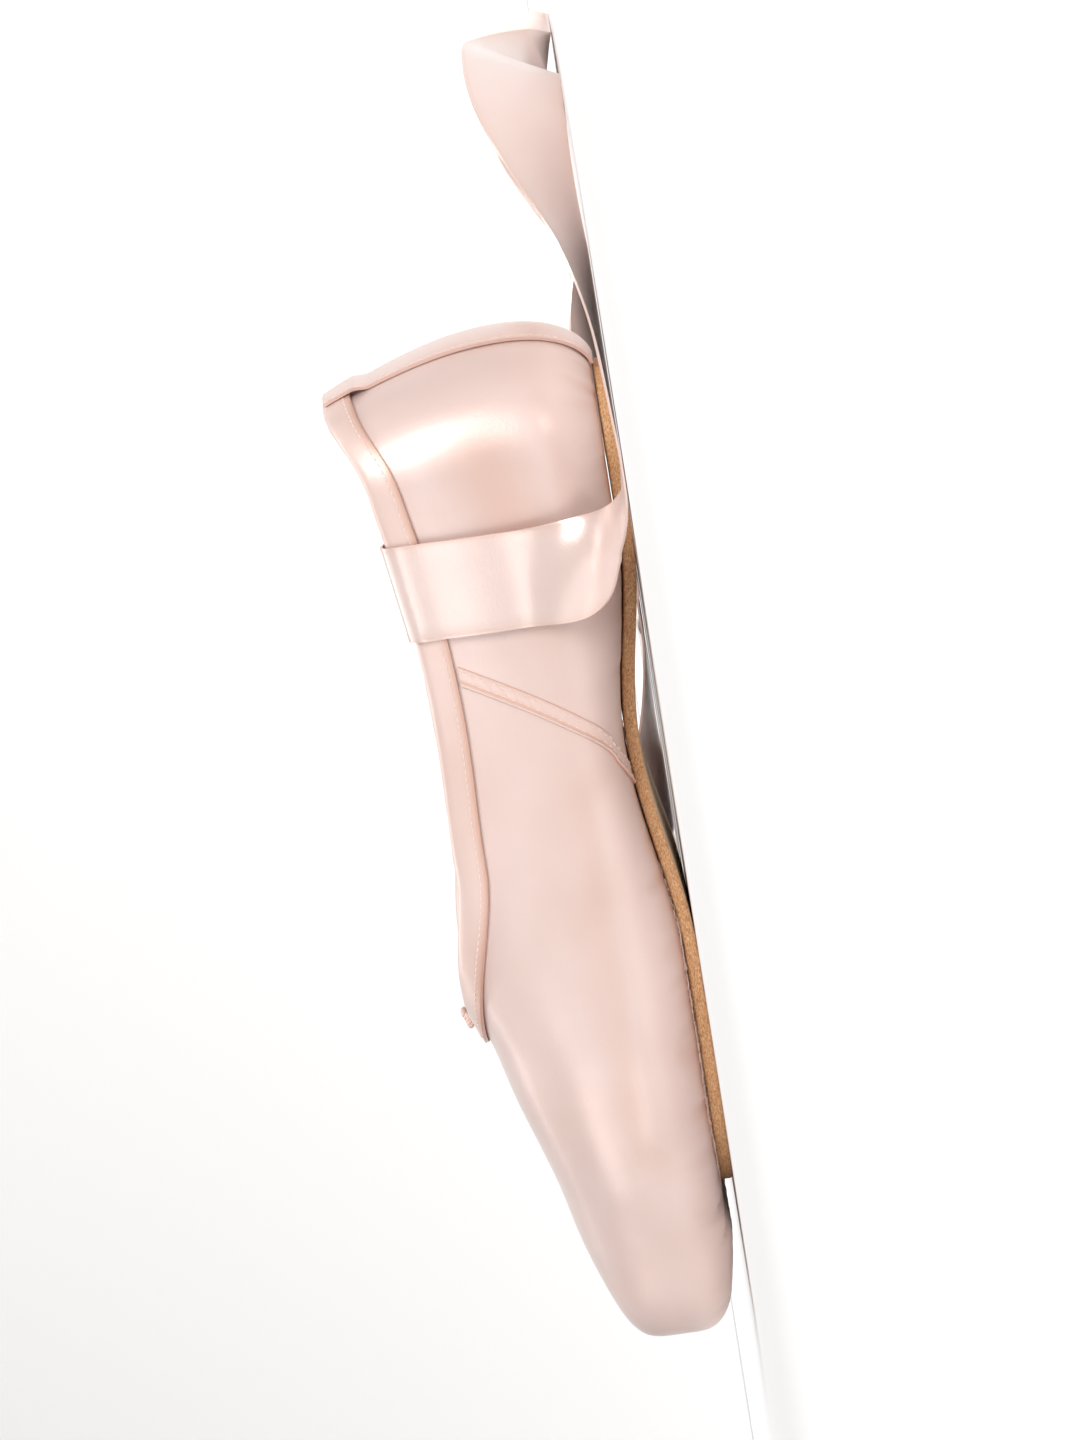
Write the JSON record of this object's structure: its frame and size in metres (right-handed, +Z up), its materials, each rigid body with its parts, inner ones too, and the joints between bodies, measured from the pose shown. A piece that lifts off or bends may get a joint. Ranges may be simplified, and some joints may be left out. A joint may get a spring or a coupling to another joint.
{
  "type": "pointe shoe",
  "caption": "Satin pointe shoe: hollow upper with a stiff flat-ended toe box, low bound collar, short narrow-waisted leather sole, drawstring at the throat, and ribbons lying loose",
  "frame": {"origin": "the middle of the flat spot under the heel, on the floor that the shoe stands on, in the shoe's mirror plane", "axes": "+Y runs from the toe to the heel, so the toe points to -Y; +Z is up; +X is the side seen in the picture, and the shoe is the same left and right"},
  "size_m": [0.1872, 0.2979, 0.0631],
  "materials": {
    "satin": "pale peach-pink satin with a soft broad sheen",
    "satin_trim": "the same satin folded as casing, tape and cord",
    "ribbon_satin": "thin satin ribbon, glossier than the upper",
    "leather": "pale buffed sole leather with a raw brown edge",
    "lining": "undyed cotton, matt"
  },
  "bodies": {
    "root": {"upper": "satin", "outsole": "leather", "insole": "lining", "binding": "satin_trim", "back_strip": "satin_trim", "side_seam_tape_right": "satin_trim", "side_seam_tape_left": "satin_trim", "drawstring_knot": "satin_trim", "ribbon_right": "ribbon_satin", "ribbon_left": "ribbon_satin"}
  },
  "joints": []
}
